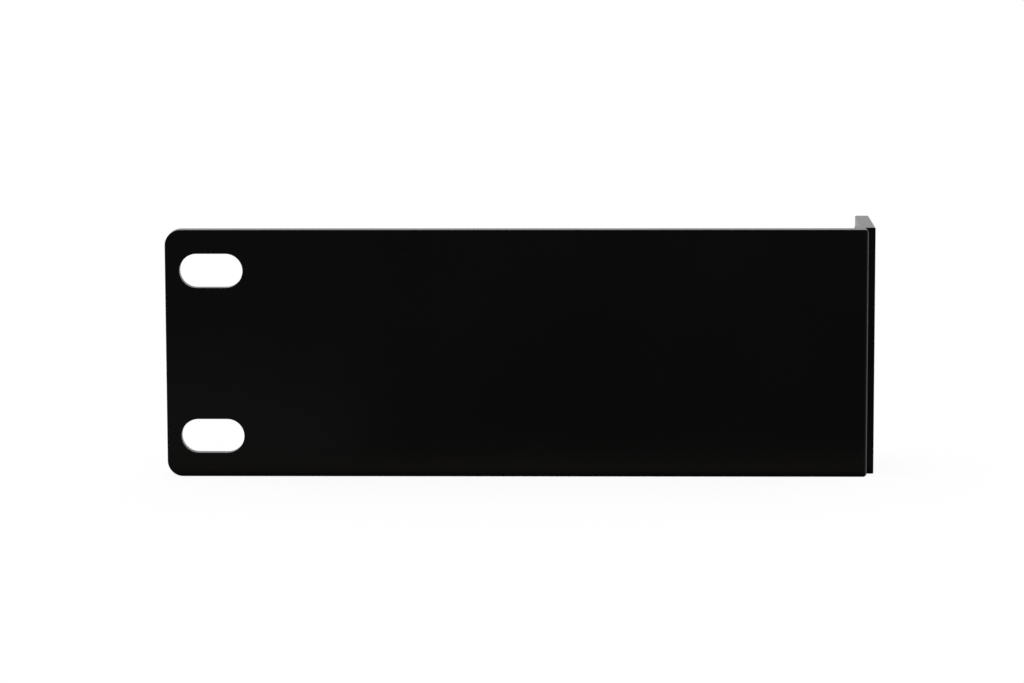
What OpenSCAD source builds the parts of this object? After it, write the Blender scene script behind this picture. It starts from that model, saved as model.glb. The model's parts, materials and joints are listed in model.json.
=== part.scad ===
// Rack mount ear bracket: a long front plate that bolts to a rack rail, and a
// short flange at its far end that screws to the side of a narrow device.
// One solid of extruded aluminium profile, cut to height and then milled.
//
// Millimetres. X runs along the plate towards the device, Y from front to back,
// Z up. The origin is on the face that seats on the rail, midway between the slots.

/* [Front plate] */
// Length of the front plate, from its free edge to its stepped end
plate_length = 133.5; // [60:0.5:240]
// Height of the plate and of the flange
plate_height = 47.4; // [44:0.1:88]
// Thickness of the front plate
plate_thickness = 3; // [2:0.1:4]
// Radius of the two corners at the plate's free edge
free_corner_r = 3; // [1:0.5:6]
// Radius of the two corners at the plate's stepped end
end_corner_r = 0.6; // [0.5:0.1:2]
// Radius of the upright front edge at the plate's stepped end
end_edge_r = 0.8; // [0.4:0.1:1.2]
// Radius of every other outer edge
edge_r = 0.2; // [0.1:0.05:0.4]

/* [Rack slots] */
// Distance between the centres of the two slots
slot_pitch = 31.75; // [26:0.05:38.1]
// Distance from the plate's free edge to the centres of the slots
slot_inset = 8.75; // [8:0.05:12]
// Length of each slot, end to end
slot_length = 12; // [9:0.1:15]
// Width of each slot
slot_width = 6.5; // [5.4:0.1:7.8]
// Edge break round the front mouth of each slot
slot_break = 0.1; // [0.05:0.05:0.3]
// Depth of the 45 degree relief round the rear mouth of each slot
slot_relief = 1; // [0.1:0.1:1.3]

/* [Flange] */
// Depth from the plate's front face to the flange's rear edge
flange_depth = 25; // [18:0.5:60]
// Thickness of the flange
flange_thickness = 2.6; // [2:0.1:4]
// Radius of the two corners at the flange's rear edge
rear_corner_r = 0.6; // [0.5:0.1:6]
// How far the flange's outer face stands out past the plate's end
step_out = 1.5; // [0.5:0.05:1.7]
// Depth of the step, from the plate's front face
step_depth = 3.5; // [3:0.1:8]

/* [Neck] */
// How far the neck stands in from the flange's inner face
neck_inset = 1.3; // [1:0.1:3]
// How far the neck reaches back past the flange's front edge
neck_reach = 3; // [1:0.1:8]
// Radius of the fillets at the neck's two inside corners
inner_fillet_r = 0.4; // [0.2:0.1:0.8]

/* [Device screws] */
// Distance between the two screw holes
screw_pitch = 30; // [20:0.5:34]
// Distance from the flange's rear edge to the centres of the screw holes
screw_setback = 10; // [7:0.5:12]
// Diameter of each screw hole
screw_hole_d = 4.5; // [3.7:0.1:5.5]
// Diameter of each countersink at the flange's inner face
screw_head_d = 8.4; // [7:0.1:9]

/* [Hidden] */
$fn = 64;
// How far a cutter runs past the face that it opens
past = 1;
plate_start = -slot_inset;
plate_end = plate_start + plate_length;
plate_front = -plate_thickness;
flange_outer = plate_end + step_out;
flange_inner = flange_outer - flange_thickness;
flange_front = plate_front + step_depth;
flange_rear = plate_front + flange_depth;
flange_length = flange_rear - flange_front;
neck_inner = flange_inner - neck_inset;
neck_rear = flange_front + neck_reach;
// How far the neck reaches into the plate, and a fillet into the faces it joins, out of sight
neck_joint = plate_thickness / 2;
fillet_joint = inner_fillet_r / 2;

// Rectangle from the origin, with one radius at its two near corners and one at its two far ones
module soft_rect(length, width, near_r, far_r) {
    for (side = [near_r, width - near_r]) {
        translate([near_r, side]) circle(r = near_r);
    }
    for (side = [far_r, width - far_r]) {
        translate([length - far_r, side]) circle(r = far_r);
    }
    translate([near_r, 0]) square([length - near_r - far_r, width]);
    translate([0, near_r]) square([length / 2, width - 2 * near_r]);
    translate([length / 2, far_r]) square([length / 2, width - 2 * far_r]);
}

// Extrudes a shape drawn in X and Z along Y, from one depth to another
module extrude_back(from, to) {
    translate([0, to, 0]) rotate([90, 0, 0]) linear_extrude(height = to - from) children();
}

// Extrudes a shape drawn in Y and Z along X, from one place to another
module extrude_along(from, to) {
    translate([from, 0, 0]) rotate([90, 0, 90]) linear_extrude(height = to - from) children();
}

// Disc that lies in X and Z, from Y 0 to its thickness, with both rims rounded
module soft_disc(r, thickness, rim_r) {
    rotate([-90, 0, 0]) rotate_extrude() {
        square([r - rim_r, thickness]);
        translate([0, rim_r]) square([r, thickness - 2 * rim_r]);
        for (rim = [rim_r, thickness - rim_r]) {
            translate([r - rim_r, rim]) circle(r = rim_r);
        }
    }
}

// Outline of the front plate, in X and Z
module plate_face() {
    translate([plate_start, -plate_height / 2])
        soft_rect(plate_length, plate_height, free_corner_r, end_corner_r);
}

// End view of the flange, in X and Z
module flange_end() {
    translate([flange_inner, -plate_height / 2])
        soft_rect(flange_thickness, plate_height, edge_r, edge_r);
}

// Front plate: its plan gives the upright edges, its end view the top and bottom ones
module front_plate() {
    corner_x = plate_start + free_corner_r;
    corner_z = plate_height / 2 - free_corner_r;
    intersection() {
        translate([plate_start, plate_front, -plate_height / 2])
            linear_extrude(height = plate_height)
            soft_rect(plate_length, plate_thickness, edge_r, end_edge_r);
        extrude_along(plate_start, plate_end)
            translate([plate_front, -plate_height / 2])
            soft_rect(plate_thickness, plate_height, edge_r, edge_r);
        union() {
            extrude_back(plate_front, 0) difference() {
                plate_face();
                for (side = [-1, 1]) {
                    translate([plate_start, side * (corner_z + free_corner_r)])
                        square(2 * free_corner_r, center = true);
                }
            }
            for (side = [-1, 1]) {
                translate([corner_x, plate_front, side * corner_z])
                    soft_disc(free_corner_r, plate_thickness, edge_r);
            }
        }
    }
}

// Flange: the leg that runs back along the side of the device
module flange() {
    intersection() {
        translate([flange_inner, flange_front, -plate_height / 2])
            linear_extrude(height = plate_height)
            soft_rect(flange_thickness, flange_length, edge_r, edge_r);
        extrude_back(flange_front, flange_rear) flange_end();
        extrude_along(flange_inner, flange_outer)
            translate([flange_front, -plate_height / 2])
            soft_rect(flange_length, plate_height, edge_r, rear_corner_r);
    }
}

// Neck: joins the flange to the back of the plate, flush with the plate's end
module neck() {
    width = plate_end - neck_inner;
    length = neck_rear + neck_joint;
    intersection() {
        translate([neck_inner, -neck_joint, -plate_height / 2])
            linear_extrude(height = plate_height)
            soft_rect(width, length, edge_r, edge_r);
        extrude_back(-neck_joint, neck_rear)
            translate([neck_inner, -plate_height / 2])
            soft_rect(width, plate_height, edge_r, end_corner_r);
        extrude_along(neck_inner, plate_end)
            translate([-neck_joint, -plate_height / 2])
            soft_rect(length, plate_height, edge_r, edge_r);
    }
}

// Fillet in an inside corner that is open to the left and to the back
module inner_fillet() {
    height = plate_height - 2 * edge_r;
    side = inner_fillet_r + fillet_joint;
    translate([0, 0, -height / 2]) linear_extrude(height = height) difference() {
        translate([-inner_fillet_r, -fillet_joint]) square(side);
        translate([-inner_fillet_r, inner_fillet_r]) circle(r = inner_fillet_r);
    }
}

// Rack slot: a stadium along X that flares at the front and, further, at the back
module slot_cutter() {
    half = (slot_length - slot_width) / 2;
    extrude_back(plate_front - past, past) {
        square([2 * half, slot_width], center = true);
        for (side = [-1, 1]) {
            translate([side * half, 0]) circle(d = slot_width);
        }
    }
    translate([0, plate_front, 0]) slot_flare(half, slot_break, 1);
    slot_flare(half, slot_relief, -1);
}

// 45 degree flare of a slot's mouth, which narrows towards positive Y (way 1) or negative Y (way -1)
module slot_flare(half, depth, way) {
    wide = slot_width / 2 + depth;
    translate([0, -way * depth, 0]) {
        for (side = [-1, 1]) {
            translate([side * half, 0, 0]) rotate([-90 * way, 0, 0])
                cylinder(h = 2 * depth, r1 = wide + depth, r2 = wide - depth);
        }
        extrude_along(-half, half) polygon([
            [0, -wide - depth],
            [0, wide + depth],
            [way * 2 * depth, wide - depth],
            [way * 2 * depth, -wide + depth]
        ]);
    }
}

// Device screw hole, countersunk at the flange's inner face
module screw_cutter() {
    sink = (screw_head_d - screw_hole_d) / 2;
    rotate([0, 90, 0]) translate([0, 0, -past]) {
        cylinder(h = flange_thickness + 2 * past, d = screw_hole_d);
        cylinder(h = sink + past, r1 = screw_head_d / 2 + past, r2 = screw_hole_d / 2);
    }
}

module ear_bracket() {
    color("#1c1c1e") difference() {
        union() {
            front_plate();
            neck();
            flange();
            translate([neck_inner, 0, 0]) inner_fillet();
            translate([flange_inner, neck_rear, 0]) inner_fillet();
        }
        for (side = [-1, 1]) {
            translate([0, 0, side * slot_pitch / 2]) slot_cutter();
            translate([flange_inner, flange_rear - screw_setback, side * screw_pitch / 2]) screw_cutter();
        }
    }
}

ear_bracket();
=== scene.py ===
import json
import math

import bmesh
import bpy
from mathutils import Matrix, Vector


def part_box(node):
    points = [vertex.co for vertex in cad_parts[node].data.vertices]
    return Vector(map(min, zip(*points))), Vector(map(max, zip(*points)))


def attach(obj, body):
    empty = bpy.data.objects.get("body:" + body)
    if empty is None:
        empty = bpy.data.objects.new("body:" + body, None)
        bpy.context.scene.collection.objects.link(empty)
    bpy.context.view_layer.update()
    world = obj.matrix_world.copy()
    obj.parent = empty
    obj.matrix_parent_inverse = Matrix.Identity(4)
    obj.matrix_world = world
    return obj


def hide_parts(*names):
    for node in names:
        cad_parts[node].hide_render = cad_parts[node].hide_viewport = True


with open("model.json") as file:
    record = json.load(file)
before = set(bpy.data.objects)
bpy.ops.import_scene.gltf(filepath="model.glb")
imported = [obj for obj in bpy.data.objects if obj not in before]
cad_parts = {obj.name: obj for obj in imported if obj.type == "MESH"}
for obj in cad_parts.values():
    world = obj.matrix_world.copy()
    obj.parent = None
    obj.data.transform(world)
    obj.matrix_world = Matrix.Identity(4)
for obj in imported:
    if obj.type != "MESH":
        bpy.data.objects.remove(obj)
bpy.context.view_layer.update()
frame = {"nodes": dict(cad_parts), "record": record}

mounts = {mount["name"]: mount for mount in frame["record"]["mounts"]}
low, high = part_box("ear_bracket")
print("frame loaded:", ", ".join(sorted(frame["nodes"])))

perMetre = 1000                # the record's dims are in millimetres
facing = 0.9                   # a unit direction counts as along an axis past this share
nearby = 1e-5                  # metres within which two places count as one


def selectOnly(piece):
    bpy.ops.object.select_all(action="DESELECT")
    piece.select_set(True)
    bpy.context.view_layer.objects.active = piece


def editPiece(piece):
    selectOnly(piece)
    bpy.ops.object.mode_set(mode="EDIT")
    bpy.ops.mesh.select_all(action="DESELECT")


def leaveEdit():
    bpy.ops.object.mode_set(mode="OBJECT")


def pickFaces(piece, wanted):
    # wanted is asked about each face's middle and normal
    bpy.ops.mesh.select_mode(type="FACE")
    bpy.ops.mesh.select_all(action="DESELECT")
    mesh = bmesh.from_edit_mesh(piece.data)
    for face in mesh.faces:
        face.select_set(bool(wanted(face.calc_center_median(), face.normal)))
    bmesh.update_edit_mesh(piece.data)


def pickEdges(piece, wanted):
    # wanted is asked about each edge's middle, direction and the angle that its faces turn through
    bpy.ops.mesh.select_mode(type="EDGE")
    bpy.ops.mesh.select_all(action="DESELECT")
    mesh = bmesh.from_edit_mesh(piece.data)
    for edge in mesh.edges:
        one, two = (corner.co for corner in edge.verts)
        turn = edge.calc_face_angle_signed(0.0)
        edge.select_set(bool(wanted((one + two) / 2, (two - one).normalized(), turn)))
    bmesh.update_edit_mesh(piece.data)


def extrude(x=0.0, y=0.0, z=0.0):
    bpy.ops.mesh.extrude_region_move(TRANSFORM_OT_translate={"value": (x, y, z)})


def weighEdges(weight):
    # adds to the weight that the picked edges already have
    bpy.ops.transform.edge_bevelweight(value=weight)


def addBlock(name, start, end):
    start, end = Vector(start), Vector(end)
    bpy.ops.object.select_all(action="DESELECT")
    bpy.ops.mesh.primitive_cube_add(size=1, location=(start + end) / 2, scale=end - start)
    block = bpy.context.object
    block.name = block.data.name = name
    bpy.ops.object.transform_apply(location=True, rotation=True, scale=True)
    return block


def cutWith(piece, cutter):
    selectOnly(piece)
    cut = piece.modifiers.new("cut", "BOOLEAN")
    cut.operation = "DIFFERENCE"
    cut.solver = "EXACT"
    cut.object = cutter
    bpy.ops.object.modifier_apply(modifier=cut.name)
    bpy.data.objects.remove(cutter)


bracketSizes = {
    "plateThickness": 0.003,
    "flangeThickness": 0.0026,
    "stepOut": 0.0015,         # flange past the plate's end
    "stepDepth": 0.0035,       # from the plate's front face
    "neckInset": 0.0013,       # neck past the flange's inner face
    "neckReach": 0.003,        # neck back past the flange's front edge
    "freeCorner": 0.003,       # radius of the corners by the slots
    "slotRelief": 0.001,       # 45 degree relief round the back of each slot
    "edgeRound": 0.0002,
    "endRound": 0.0008,        # upright front edge beside the step
    "endCorner": 0.0006,       # corners beside the step
    "insideFillet": 0.0004,
    "rimRound": 0.0001,        # edge break round slots and holes
    "screwHead": 0.0084,       # countersink across the flange's inner face
    "cornerSteps": 16,
    "roundSteps": 5,
    "holeSides": 96,
    "past": 0.001,             # how far a cutter runs past the face that it opens
    "cutterMerge": 1e-6,       # corners of a cutter closer than this are merged
    "bracketMerge": 2e-6,      # and those of the bracket, after its cuts
    "slotSearch": 0.0005,      # how far past a slot's relief its rim edges are looked for
    "screwSearch": 0.001,      # and past a countersink
    "flatTurn": 1,             # degrees: faces that turn less than this are joined
    "rimTurn": 30,             # a rim's edge turns more than this
    "sharpTurn": 50,           # and any other edge to be rounded turns more than this
    "smoothTurn": 30,          # edges that turn less than this are shaded smooth
    "areaWeight": 100,         # above 50 the large faces lead the shading; at most 100
}


def makeBlank(sizes):
    # front plate first, then the neck and the flange grow out of its back
    plateBack = low.y + sizes["plateThickness"]
    plateEnd = high.x - sizes["stepOut"]
    stepBack = low.y + sizes["stepDepth"]
    neckBack = stepBack + sizes["neckReach"]
    flangeInside = high.x - sizes["flangeThickness"]
    neckInside = flangeInside - sizes["neckInset"]
    blank = addBlock("earBracket", low, (plateEnd, plateBack, high.z))
    editPiece(blank)
    bpy.ops.mesh.select_all(action="SELECT")
    bpy.ops.mesh.bisect(plane_co=(neckInside, 0, 0), plane_no=(1, 0, 0))
    pickFaces(blank, lambda middle, normal: normal.y > facing and middle.x > neckInside)
    extrude(y=stepBack - plateBack)
    extrude(y=neckBack - stepBack)
    bpy.ops.mesh.select_all(action="SELECT")
    bpy.ops.mesh.bisect(plane_co=(flangeInside, 0, 0), plane_no=(1, 0, 0))
    pickFaces(blank, lambda middle, normal: normal.y > facing and middle.x > flangeInside)
    extrude(y=high.y - neckBack)
    pickFaces(blank, lambda middle, normal: normal.x > facing and middle.y > stepBack)
    extrude(x=sizes["stepOut"])
    bpy.ops.mesh.select_all(action="SELECT")
    bpy.ops.mesh.dissolve_limited(angle_limit=math.radians(sizes["flatTurn"]))
    pickEdges(blank, lambda middle, along, turn: abs(along.y) > facing and middle.x < low.x + nearby)
    bpy.ops.mesh.bevel(offset=sizes["freeCorner"], segments=sizes["cornerSteps"], affect="EDGES")
    leaveEdit()
    return blank


def markHeights(piece, heights):
    # flat cuts through the hole centres, so that no face ever holds a whole hole
    editPiece(piece)
    for height in heights:
        bpy.ops.mesh.select_all(action="SELECT")
        bpy.ops.mesh.bisect(plane_co=(0, 0, height), plane_no=(0, 0, 1))
    leaveEdit()


def slotCutter(centre, length, radius, sizes):
    # starts as the wide rear mouth, whose front rim is bevelled flat down to the slot's own outline
    past, relief = sizes["past"], sizes["slotRelief"]
    slope = relief + past
    reach = Vector((length / 2 + slope, 0, radius + slope))
    start = centre - reach - Vector((0, relief, 0))
    cutter = addBlock("slotCutter", start, centre + reach + Vector((0, 2 * past, 0)))
    editPiece(cutter)
    pickEdges(cutter, lambda middle, along, turn: abs(along.y) > facing)
    bpy.ops.mesh.bevel(offset=radius + slope, segments=sizes["holeSides"] // 4, affect="EDGES")
    bpy.ops.mesh.select_all(action="SELECT")
    bpy.ops.mesh.remove_doubles(threshold=sizes["cutterMerge"])
    pickEdges(cutter, lambda middle, along, turn: abs(along.y) < 1 - facing and middle.y < centre.y)
    bpy.ops.mesh.bevel(offset=slope, segments=1, affect="EDGES")
    pickFaces(cutter, lambda middle, normal: normal.y < -facing)
    extrude(y=relief - sizes["plateThickness"] - past)
    leaveEdit()
    return cutter


def screwCutter(centre, radius, sizes):
    # a straight bore whose inner end widens into the countersink
    past = sizes["past"]
    sink = sizes["screwHead"] / 2 - radius
    inner = high.x - sizes["flangeThickness"] + sink
    outer = high.x + past
    bpy.ops.object.select_all(action="DESELECT")
    bpy.ops.mesh.primitive_cylinder_add(
        vertices=sizes["holeSides"], radius=radius, depth=outer - inner,
        location=((inner + outer) / 2, centre.y, centre.z), rotation=(0, math.pi / 2, 0))
    cutter = bpy.context.object
    bpy.ops.object.transform_apply(location=True, rotation=True, scale=True)
    editPiece(cutter)
    pickFaces(cutter, lambda middle, normal: normal.x < -facing)
    extrude(x=-sink - past)
    wider = (radius + sink + past) / radius
    bpy.ops.transform.resize(value=(1, wider, wider), center_override=(inner, centre.y, centre.z))
    leaveEdit()
    return cutter


def roundEdges(piece, sizes, rims):
    # one bevel does every edge, and each edge's weight is its share of the widest radius
    widest = sizes["endRound"]
    plain = sizes["edgeRound"]
    plateEnd = high.x - sizes["stepOut"]
    stepBack = low.y + sizes["stepDepth"]
    sharp = math.radians(sizes["sharpTurn"])
    rimSharp = math.radians(sizes["rimTurn"])

    def onRim(middle):
        return any((middle - centre).length < reach for centre, reach in rims)

    def byTheStep(middle):
        return abs(middle.x - plateEnd) < nearby and middle.y < stepBack - nearby

    def endEdge(middle, turn):
        return turn > sharp and byTheStep(middle)

    def insideEdge(middle, turn):
        return turn < -sharp and middle.x < plateEnd - nearby and not onRim(middle)

    editPiece(piece)
    pickEdges(piece, lambda middle, along, turn: turn > sharp and not onRim(middle))
    weighEdges(plain / widest)
    pickEdges(piece, lambda middle, along, turn: endEdge(middle, turn) and abs(along.z) > facing)
    weighEdges((sizes["endRound"] - plain) / widest)
    pickEdges(piece, lambda middle, along, turn: endEdge(middle, turn) and abs(along.y) > facing)
    weighEdges((sizes["endCorner"] - plain) / widest)
    pickEdges(piece, lambda middle, along, turn: abs(turn) > rimSharp and onRim(middle))
    weighEdges(sizes["rimRound"] / widest)
    pickEdges(piece, lambda middle, along, turn: insideEdge(middle, turn))
    weighEdges(sizes["insideFillet"] / widest)
    leaveEdit()
    rounding = piece.modifiers.new("rounding", "BEVEL")
    rounding.limit_method = "WEIGHT"
    rounding.width = widest
    rounding.segments = sizes["roundSteps"]
    rounding.use_clamp_overlap = False
    rounding.loop_slide = False
    bpy.ops.object.modifier_apply(modifier=rounding.name)


def makeBracket(sizes):
    slots, screws = mounts["rack_slots"], mounts["device_screws"]
    slotAt, screwAt = Vector(slots["pos_m"]), Vector(screws["pos_m"])
    slotHeight = slots["dims"]["spacing_y_mm"] / perMetre / 2
    screwHeight = screws["dims"]["spacing_y_mm"] / perMetre / 2
    slotLength = slots["dims"]["slot_length_mm"] / perMetre
    slotRadius = slots["dims"]["hole_r_mm"] / perMetre
    screwRadius = screws["dims"]["hole_r_mm"] / perMetre
    piece = makeBlank(sizes)
    markHeights(piece, [side * height for side in (-1, 1) for height in (slotHeight, screwHeight)])
    rims = []
    for side in (-1, 1):
        up = Vector((0, 0, side * slotHeight))
        cutWith(piece, slotCutter(slotAt + up, slotLength, slotRadius, sizes))
        rims.append((slotAt + up, slotLength / 2 + sizes["slotRelief"] + sizes["slotSearch"]))
        up = Vector((0, 0, side * screwHeight))
        cutWith(piece, screwCutter(screwAt + up, screwRadius, sizes))
        rims.append((screwAt + up, sizes["screwHead"] / 2 + sizes["screwSearch"]))
    editPiece(piece)
    bpy.ops.mesh.select_all(action="SELECT")
    bpy.ops.mesh.remove_doubles(threshold=sizes["bracketMerge"])
    leaveEdit()
    roundEdges(piece, sizes, rims)
    selectOnly(piece)
    bpy.ops.object.shade_smooth_by_angle(angle=math.radians(sizes["smoothTurn"]))
    evenShading = piece.modifiers.new("evenShading", "WEIGHTED_NORMAL")
    evenShading.weight = sizes["areaWeight"]
    evenShading.keep_sharp = True
    bpy.ops.object.modifier_apply(modifier=evenShading.name)
    return piece


earBracket = makeBracket(bracketSizes)
print("bracket modelled:", len(earBracket.data.polygons), "faces")


class Signal:
    # a number that varies over a surface; sums with it add Math nodes
    def __init__(self, paint, socket):
        self.paint = paint
        self.socket = socket

    def blend(self, operation, first, second):
        return self.paint.add("Math", {"operation": operation}, {0: first, 1: second})["Value"]

    def __add__(self, other):
        return self.blend("ADD", self, other)

    def __radd__(self, other):
        return self.blend("ADD", other, self)

    def __sub__(self, other):
        return self.blend("SUBTRACT", self, other)

    def __rsub__(self, other):
        return self.blend("SUBTRACT", other, self)

    def __mul__(self, other):
        return self.blend("MULTIPLY", self, other)

    def __rmul__(self, other):
        return self.blend("MULTIPLY", other, self)


class Paint:
    # the node tree of one material or of the world
    def __init__(self, owner):
        owner.use_nodes = True
        self.tree = owner.node_tree
        self.tree.nodes.clear()

    def add(self, kind, settings=None, sockets=None):
        node = self.tree.nodes.new("ShaderNode" + kind)
        for name, value in (settings or {}).items():
            if name == "stops":
                self.setStops(node.color_ramp, value)
            else:
                setattr(node, name, value)
        for key, value in (sockets or {}).items():
            socket = self.findSocket(node.inputs, key)
            if isinstance(value, Signal):
                self.tree.links.new(value.socket, socket)
            else:
                socket.default_value = value
        return {out.name: Signal(self, out) for out in node.outputs if out.enabled}

    def findSocket(self, sockets, key):
        if isinstance(key, int):
            return sockets[key]
        return next(socket for socket in sockets if socket.enabled and socket.name == key)

    def setStops(self, ramp, stops):
        while len(ramp.elements) < len(stops):
            ramp.elements.new(1.0)
        for element, (position, tone) in zip(ramp.elements, stops):
            element.position = position
            element.color = (tone, tone, tone, 1.0)


anodise = {
    "darkTone": (0.0001, 0.0001, 0.0001, 1.0),
    "paleTone": (0.0010, 0.0010, 0.0010, 1.0),
    "dustTone": (0.005, 0.005, 0.005, 1.0),
    "roughness": 0.30,
    "cloudRough": 0.10,        # how much each pattern moves the roughness
    "grainRough": 0.10,
    "lineRough": 0.05,
    "refraction": 1.45,
    "sheen": 0.06,             # share of the usual reflection kept face on; glancing light keeps it all
    "cloudSize": 0.030,
    "cloudDetail": 3.0,
    "cloudBreak": 0.5,         # weight of each finer layer of the pattern
    "grainSize": 0.00022,
    "grainDetail": 2.0,
    "grainBreak": 0.6,
    "lineSize": 0.0004,        # spacing of the upright drawn lines
    "lineStretch": 0.01,       # their pattern's scale along the height
    "lineDetail": 2.0,
    "lineHeight": 0.6,         # against the grain's height
    "dustSize": 0.004,
    "dustReach": 0.05,         # radius of a speck, as a share of its cell
    "bumpStrength": 0.12,
    "bumpDepth": 0.00003,
}
noiseMiddle = 0.5


def makeAnodise(settings):
    material = bpy.data.materials.new("blackAnodise")
    paint = Paint(material)
    place = paint.add("TexCoord")["Object"]
    cloud = paint.add("TexNoise", {}, {
        "Vector": place, "Scale": 1 / settings["cloudSize"],
        "Detail": settings["cloudDetail"], "Roughness": settings["cloudBreak"]})["Fac"]
    grain = paint.add("TexNoise", {}, {
        "Vector": place, "Scale": 1 / settings["grainSize"],
        "Detail": settings["grainDetail"], "Roughness": settings["grainBreak"]})["Fac"]
    drawn = paint.add("Mapping", {}, {
        "Vector": place, "Scale": (1.0, 1.0, settings["lineStretch"])})["Vector"]
    lines = paint.add("TexNoise", {}, {
        "Vector": drawn, "Scale": 1 / settings["lineSize"], "Detail": settings["lineDetail"]})["Fac"]
    specks = paint.add("TexVoronoi", {}, {"Vector": place, "Scale": 1 / settings["dustSize"]})["Distance"]
    dust = paint.add("ValToRGB", {"stops": [(0.0, 1.0), (settings["dustReach"], 0.0)]}, {
        "Fac": specks})["Color"]
    tone = paint.add("Mix", {"data_type": "RGBA"}, {
        "Factor": cloud, "A": settings["darkTone"], "B": settings["paleTone"]})["Result"]
    tone = paint.add("Mix", {"data_type": "RGBA"}, {
        "Factor": dust, "A": tone, "B": settings["dustTone"]})["Result"]
    bump = paint.add("Bump", {}, {
        "Height": grain + lines * settings["lineHeight"],
        "Strength": settings["bumpStrength"], "Distance": settings["bumpDepth"]})["Normal"]
    rough = settings["roughness"]
    for pattern, share in ((cloud, "cloudRough"), (grain, "grainRough"), (lines, "lineRough")):
        rough = rough + settings[share] * (pattern - noiseMiddle)
    shader = paint.add("BsdfPrincipled", {}, {
        "Base Color": tone,
        "Roughness": rough,
        "IOR": settings["refraction"],
        "Specular Tint": (settings["sheen"],) * 3 + (1.0,),
        "Normal": bump})["BSDF"]
    paint.add("OutputMaterial", {}, {"Surface": shader})
    return material


earBracket.data.materials.clear()
earBracket.data.materials.append(makeAnodise(anodise))
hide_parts("ear_bracket")
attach(earBracket, "root")
print("finish applied")


studio = {
    "floorAcross": 12.0,
    "floorTone": (0.98, 0.98, 0.98, 1.0),
    "floorGlow": 0.9,          # share of the floor that shows plain white to the eye and in reflections
    "ambient": 1.0,            # light from all round; the eye and reflections see plain white
}


def makeFloor(settings):
    middle = (low + high) / 2
    bpy.ops.object.select_all(action="DESELECT")
    bpy.ops.mesh.primitive_plane_add(size=settings["floorAcross"], location=(middle.x, middle.y, low.z))
    floor = bpy.context.object
    floor.name = "studioFloor"
    bpy.ops.object.transform_apply(location=True, rotation=True, scale=True)
    material = bpy.data.materials.new("paleFloor")
    paint = Paint(material)
    light = paint.add("LightPath")
    seen = paint.add("Math", {"operation": "MAXIMUM"}, {
        0: light["Is Camera Ray"], 1: light["Is Glossy Ray"]})["Value"]
    matt = paint.add("BsdfDiffuse", {}, {"Color": settings["floorTone"]})["BSDF"]
    glow = paint.add("Emission", {}, {"Strength": 1.0})["Emission"]
    mixed = paint.add("MixShader", {}, {0: seen * settings["floorGlow"], 1: matt, 2: glow})["Shader"]
    paint.add("OutputMaterial", {}, {"Surface": mixed})
    floor.data.materials.append(material)


def makeWorld(settings):
    world = bpy.data.worlds.new("studioWorld")
    bpy.context.scene.world = world
    paint = Paint(world)
    light = paint.add("LightPath")
    seen = paint.add("Math", {"operation": "MAXIMUM"}, {
        0: light["Is Camera Ray"], 1: light["Is Glossy Ray"]})["Value"]
    ambient = settings["ambient"]
    sky = paint.add("Background", {}, {
        "Color": (1.0, 1.0, 1.0, 1.0), "Strength": ambient + seen * (1 - ambient)})["Background"]
    paint.add("OutputWorld", {}, {"Surface": sky})


# places are measured from the bracket's middle
# an unturned lamp shines down; one turned 180 degrees about X lies just over the floor and shines up
lamps = {
    "overhead": {"at": (0.0, 0.35, 1.2), "turn": (-16.3, 0, 0), "size": (1.2, 1.2), "power": 2.0},
    "lowFar": {"at": (0.1213, -0.5245, -0.0234), "turn": (180, 0, 0), "size": (0.76, 0.37),
               "power": 1.6},
    "lowLeft": {"at": (-0.0763, -0.0775, -0.0234), "turn": (180, 0, 0), "size": (0.085, 0.084),
                "power": 0.034},
    "sill": {"at": (-0.0113, -0.0235, -0.0234), "turn": (180, 0, 0), "size": (0.175, 0.016),
             "power": 0.014, "tint": (1.0, 0.88, 0.72)},
}


def makeLamps(settings):
    middle = (low + high) / 2
    for name, lamp in settings.items():
        bpy.ops.object.select_all(action="DESELECT")
        bpy.ops.object.light_add(type="AREA", location=middle + Vector(lamp["at"]))
        light = bpy.context.object
        light.name = name
        light.data.shape = "RECTANGLE"
        light.data.size, light.data.size_y = lamp["size"]
        light.data.energy = lamp["power"]
        light.data.color = lamp.get("tint", (1.0, 1.0, 1.0))
        light.rotation_euler = [math.radians(angle) for angle in lamp["turn"]]
        light.visible_camera = False


makeFloor(studio)
makeWorld(studio)
makeLamps(lamps)
print("studio lit")


cameraSetup = {
    "sensor": 36.0,            # millimetres, as is the lens
    "lens": 140.88,
    "distance": 0.76173,
    "lookDown": 7.992,         # degrees, as are the next two
    "lookLeft": 1.320,
    "roll": -0.162,
    "aimAside": -0.001555,     # from the middle of the front face
    "aimUp": 0.002364,
    "nearest": 0.01,
    "farthest": 100.0,
}


def makeCamera(settings):
    middle = (low + high) / 2
    aim = Vector((middle.x + settings["aimAside"], low.y, middle.z + settings["aimUp"]))
    turn = (Matrix.Rotation(math.radians(settings["lookLeft"]), 4, "Z")
            @ Matrix.Rotation(math.radians(90 - settings["lookDown"]), 4, "X")
            @ Matrix.Rotation(math.radians(settings["roll"]), 4, "Z"))
    bpy.ops.object.camera_add()
    camera = bpy.context.object
    back = Matrix.Translation((0, 0, settings["distance"]))
    camera.matrix_world = Matrix.Translation(aim) @ turn @ back
    camera.data.sensor_width = settings["sensor"]
    camera.data.lens = settings["lens"]
    camera.data.clip_start = settings["nearest"]
    camera.data.clip_end = settings["farthest"]
    bpy.context.scene.camera = camera


makeCamera(cameraSetup)
bpy.context.scene.view_settings.view_transform = "Standard"
print("camera placed")
